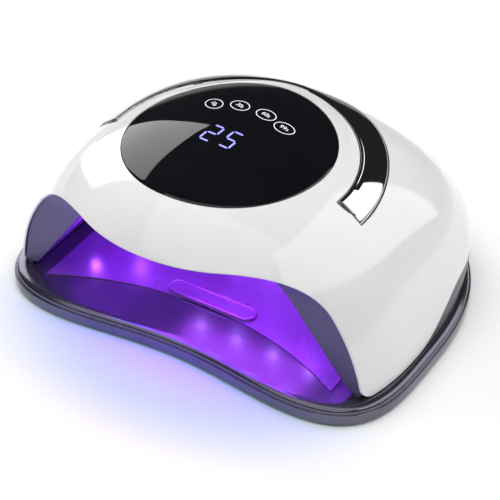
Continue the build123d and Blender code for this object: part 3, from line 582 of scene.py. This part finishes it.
def make_tray():
    """The tray as rings from its underside to its top face; the profile's pairs are an inset and a height."""
    count, shoulder, top_z = 320, 10, 10.33
    under = [(2.6, 2.95), (2.5, 1.05), (2.3, 1.0), (0.8, 1.0)]
    band = [(0.35, 1.15), (0.08, 1.5), (0.0, 2.0), (0.0, 4.0), (0.0, 6.3), (0.06, 6.75), (0.25, 7.0)]
    groove = [(0.75, 7.02), (0.9, 7.15), (0.95, 7.45)]
    profile = under + band + groove
    (inset_0, z_0), rise_in, rise_up = groove[-1], 3.95, 2.93
    for i in range(1, shoulder + 1):
        t = radians(90 * i / shoulder)
        profile.append((inset_0 + rise_in * (1 - cos(t)), z_0 + rise_up * sin(t)))
    profile += [(5.6, 10.36)] + [(inset, top_z) for inset in (7.0, 12, 25, 45, 65)]
    rings = [[tray_point(2 * pi * (j + 0.5) / count, inset, z) for j in range(count)] for inset, z in profile]
    return ring_solid("tray_shell", rings)


def make_rest_bar():
    """The raised finger stop, with a rounded shoulder and a slightly sunk top."""
    low, high = (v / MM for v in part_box("finger_rest_bar"))
    mid_y, half_w = (low.y + high.y) / 2, (high.y - low.y) / 2
    reach = (high.x - low.x) / 2 - half_w
    count, height = 24, high.z - low.z
    profile = [(0.0, 0.0), (0.0, 0.55), (0.08, 0.78), (0.3, 0.92), (0.7, 0.99), (1.3, 1.0)]
    profile += [(1.5, 0.93), (1.9, 0.9), (3.2, 0.9)]
    rings = []
    for inset, share in profile:
        r = half_w - inset
        ring = []
        for centre, start in ((reach, -pi / 2), (-reach, pi / 2)):
            for k in range(count + 1):
                angle = start + pi * k / count
                ring.append((centre + r * cos(angle), mid_y + r * sin(angle), low.z + height * share))
        rings.append(ring)
    return ring_solid("rest_bar", rings)


def place_tray():
    finish_piece(make_tray(), "tray", TRAY, ["base_tray"])
    finish_piece(make_rest_bar(), "tray", FLOOR_WITH_PAINTED_VIOLET, ["finger_rest_bar"])


# ---- CAD nodes that stay ----

KEPT = (
    (RUBBER, ("rubber_feet", "window_gasket")),
    (STEEL, ("tray_screws", "catch_plates", "display_screws", "touch_springs", "holding_magnets",
             "frame_screws", "strap_pins")),
    (PLAIN_DARK, ("tray_bottom_plate", "digit_display", "control_chip", "ribbon_connectors", "hand_sensor",
                  "power_chips", "power_jack")),
    (BOARD, ("display_board", "driver_board")),
    (WHITE_BOARD, ("led_board_top", "led_board_left", "led_board_right", "led_board_back")),
    (SLEEVE, ("display_ribbon", "light_leads")),
    (FLOOR_WITH_PAINTED_VIOLET, ("floor_reflector",)),
    (FRAME_DARK, ("lower_frame",)),
    (BEZEL_WITH_PAINTED_VIOLET, ("front_bezel",)),
    (LINER_WITH_PAINTED_VIOLET, ("reflector_liner",)),
    (BEAD, ("led_beads",)),
    (CAN, ("capacitors",)),
    (COIL, ("inductor",)),
)


def dress_kept_nodes():
    for finish, names in KEPT:
        for name in names:
            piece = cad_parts[name]
            piece.data.materials.clear()
            piece.data.materials.append(finish)


# ---- Studio, in metres ----

# Each light: name, place, its two axes, size, radiance, and whether it shows in reflections.
STUDIO_LIGHTS = (
    ("right_box", (1.272, 0.348, 1.301), (-0.380, 0.8145, -0.438), (-0.185, 0.397, 0.899),
     (3.0, 1.35), 1.3, True),
    ("left_box", (-1.644, 0.546, 0.887), (-0.617, -0.188, -0.765), (-0.657, -0.4146, 0.6316),
     (1.2, 1.6), 2.1, True),
    ("front_box", (0.15, -1.0, 1.5), (1, 0, 0), (0, 0.88, 0.47), (2.4, 2.0), 0.72, True),
    ("fill_top", (0.1, 0.5, 1.8), (1, 0, 0), (0, 1, 0), (2.2, 2.2), 1.25, False),
    ("fill_left", (-1.3, -0.6, 0.8), (0.42, -0.9, 0), (0.46, 0.21, 0.86), (1.2, 1.0), 1.8, False),
)
WORLD_COLOUR, WORLD_STRENGTH = (0.95, 1.0, 0.96), 0.022

FLOOR_REACH = 6000  # millimetres
# Each patch of painted light and shade: centre, reach, and two stops of its colour, which run from 0 at the
# rim to 1 at the centre.
FLOOR_PAINTED_LIGHT = (
    ((0, 0, 0), (1, 1, 1), (0.54, (0.36, 0.36, 0.36)), (0.67, (1, 1, 1))),  # painted shade: grey well away from the lamp, leaving a painted pool of light round it
    ((0, -0.088, 0), (0.135, 0.062, 1), (0.0, (1, 1, 1)), (0.75, (0.60, 0.83, 0.92))),  # painted spill of the beads' bluish light, with painted shade, before the mouth
)

VIOLET, BLUE, DEEP_VIOLET = (0.46, 0.05, 1.0), (0.20, 0.12, 1.0), (0.35, 0.06, 1.0)
# Each panel: place, its two axes, size, radiance, colour, and spread in degrees.
CAVITY_LIGHTS = (
    ((0, -0.030, 0.0695), (1, 0, 0), (0, 1, 0), (0.080, 0.060), 3.1, VIOLET, 180),  # under the roof
    ((-0.070, -0.015, 0.038), (0, 1, 0), (0.58, 0, 0.81), (0.070, 0.030), 1.0, VIOLET, 180),  # left wall
    ((0.070, -0.015, 0.038), (0, -1, 0), (-0.58, 0, 0.81), (0.070, 0.030), 1.4, VIOLET, 180),  # right wall
    ((-0.020, -0.088, 0.066), (1, 0, 0), (0, 0.6, 0.8), (0.080, 0.020), 3.6, BLUE, 180),  # out of the mouth
    ((0, -0.070, 0.071), (1, 0, 0), (0, 1, 0), (0.096, 0.014), 4.0, DEEP_VIOLET, 100),  # under the brow
)


def area_light(name, place, x_axis, y_axis, size, radiance, colour=(1, 1, 1)):
    """A rectangular light that shines away from the cross product of its axes, as bright as its radiance."""
    x = Vector(x_axis).normalized()
    z = x.cross(Vector(y_axis)).normalized()
    data = bpy.data.lights.new(name, "AREA")
    data.shape = "RECTANGLE"
    data.size, data.size_y = size
    data.energy = radiance * 4 * size[0] * size[1]
    data.color = colour
    lamp = bpy.data.objects.new(name, data)
    lamp.matrix_world = Matrix.Translation(place) @ Matrix((x, z.cross(x), z)).transposed().to_4x4()
    bpy.context.scene.collection.objects.link(lamp)
    return lamp


def floor_material():
    """A pale floor with painted light: painted shade greys it well away from the lamp, leaving a painted pool
    of light round it, and a painted bluish spill of the beads' light lies in front of the mouth.
    """
    mat = material("pale_floor", (0.925, 0.925, 0.925), (0.94, 0.94, 0.94), (0.6, 0.7), scale=4.0)
    tree = mat.node_tree
    shader = tree.nodes["Principled BSDF"]
    place = tree.nodes["Texture Coordinate"]
    colour = tree.nodes["Color Ramp"].outputs["Color"]
    for centre, reach, *stops in FLOOR_PAINTED_LIGHT:
        shift = node(tree, "ShaderNodeMapping", vector_type="TEXTURE")
        shift.inputs["Location"].default_value = centre
        shift.inputs["Scale"].default_value = reach
        falloff = node(tree, "ShaderNodeTexGradient", gradient_type="SPHERICAL")
        ramp = node(tree, "ShaderNodeValToRGB")
        ramp.color_ramp.interpolation = "EASE"
        for element, (position, tint) in zip(ramp.color_ramp.elements, stops):
            element.position, element.color = position, (*tint, 1)
        mix = node(tree, "ShaderNodeMix", data_type="RGBA", blend_type="MULTIPLY")
        mix.inputs["Factor"].default_value = 1.0
        tree.links.new(place.outputs["Object"], shift.inputs["Vector"])
        tree.links.new(shift.outputs["Vector"], falloff.inputs["Vector"])
        tree.links.new(falloff.outputs["Fac"], ramp.inputs["Fac"])
        tree.links.new(colour, mix.inputs[6])
        tree.links.new(ramp.outputs["Color"], mix.inputs[7])
        colour = mix.outputs[2]
    tree.links.new(colour, shader.inputs["Base Color"])
    return mat


def make_studio():
    low, high = -FLOOR_REACH, FLOOR_REACH
    floor = new_object("studio_floor", [(low, low, 0), (high, low, 0), (high, high, 0), (low, high, 0)],
                       [(0, 1, 2, 3)])
    floor.data.materials.append(floor_material())
    world = bpy.data.worlds.new("studio")
    bpy.context.scene.world = world
    world.use_nodes = True
    background = world.node_tree.nodes["Background"]
    background.inputs["Color"].default_value = (*WORLD_COLOUR, 1)
    background.inputs["Strength"].default_value = WORLD_STRENGTH
    for *values, reflected in STUDIO_LIGHTS:
        area_light(*values).visible_glossy = reflected
    bpy.context.scene.view_settings.view_transform = "Standard"


def make_cavity_light():
    """The violet light of the beads, as soft panels inside the cavity, and what of it leaves the mouth."""
    for i, (*values, spread) in enumerate(CAVITY_LIGHTS):
        panel = area_light(f"cavity_light_{i}", *values)
        panel.data.spread = radians(spread)
        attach(panel, "housing")


def make_camera():
    """The camera stands in front of the lamp, above it and to its right, and looks down at it."""
    azimuth, elevation = radians(32.02522), radians(38.23718)
    aside, above, distance = 5.07334, 20.54640, 996.605  # its place from (0, MID_Y, 0), along its own axes
    back = Vector((sin(azimuth) * cos(elevation), -cos(azimuth) * cos(elevation), sin(elevation)))
    right = Vector((cos(azimuth), sin(azimuth), 0))
    up = back.cross(right)
    data = bpy.data.cameras.new("camera")
    data.sensor_width = 36
    data.lens = 139.37
    data.clip_start, data.clip_end = 0.05, 50
    camera = bpy.data.objects.new("camera", data)
    place = (right * aside + up * above + back * distance + Vector((0, MID_Y, 0))) * MM
    turn = Matrix((right, up, back)).transposed()
    camera.matrix_world = Matrix.Translation(place) @ turn.to_4x4()
    bpy.context.scene.collection.objects.link(camera)
    bpy.context.scene.camera = camera


place_cover()
place_window()
place_strap()
place_tray()
dress_kept_nodes()
make_cavity_light()
make_studio()
make_camera()
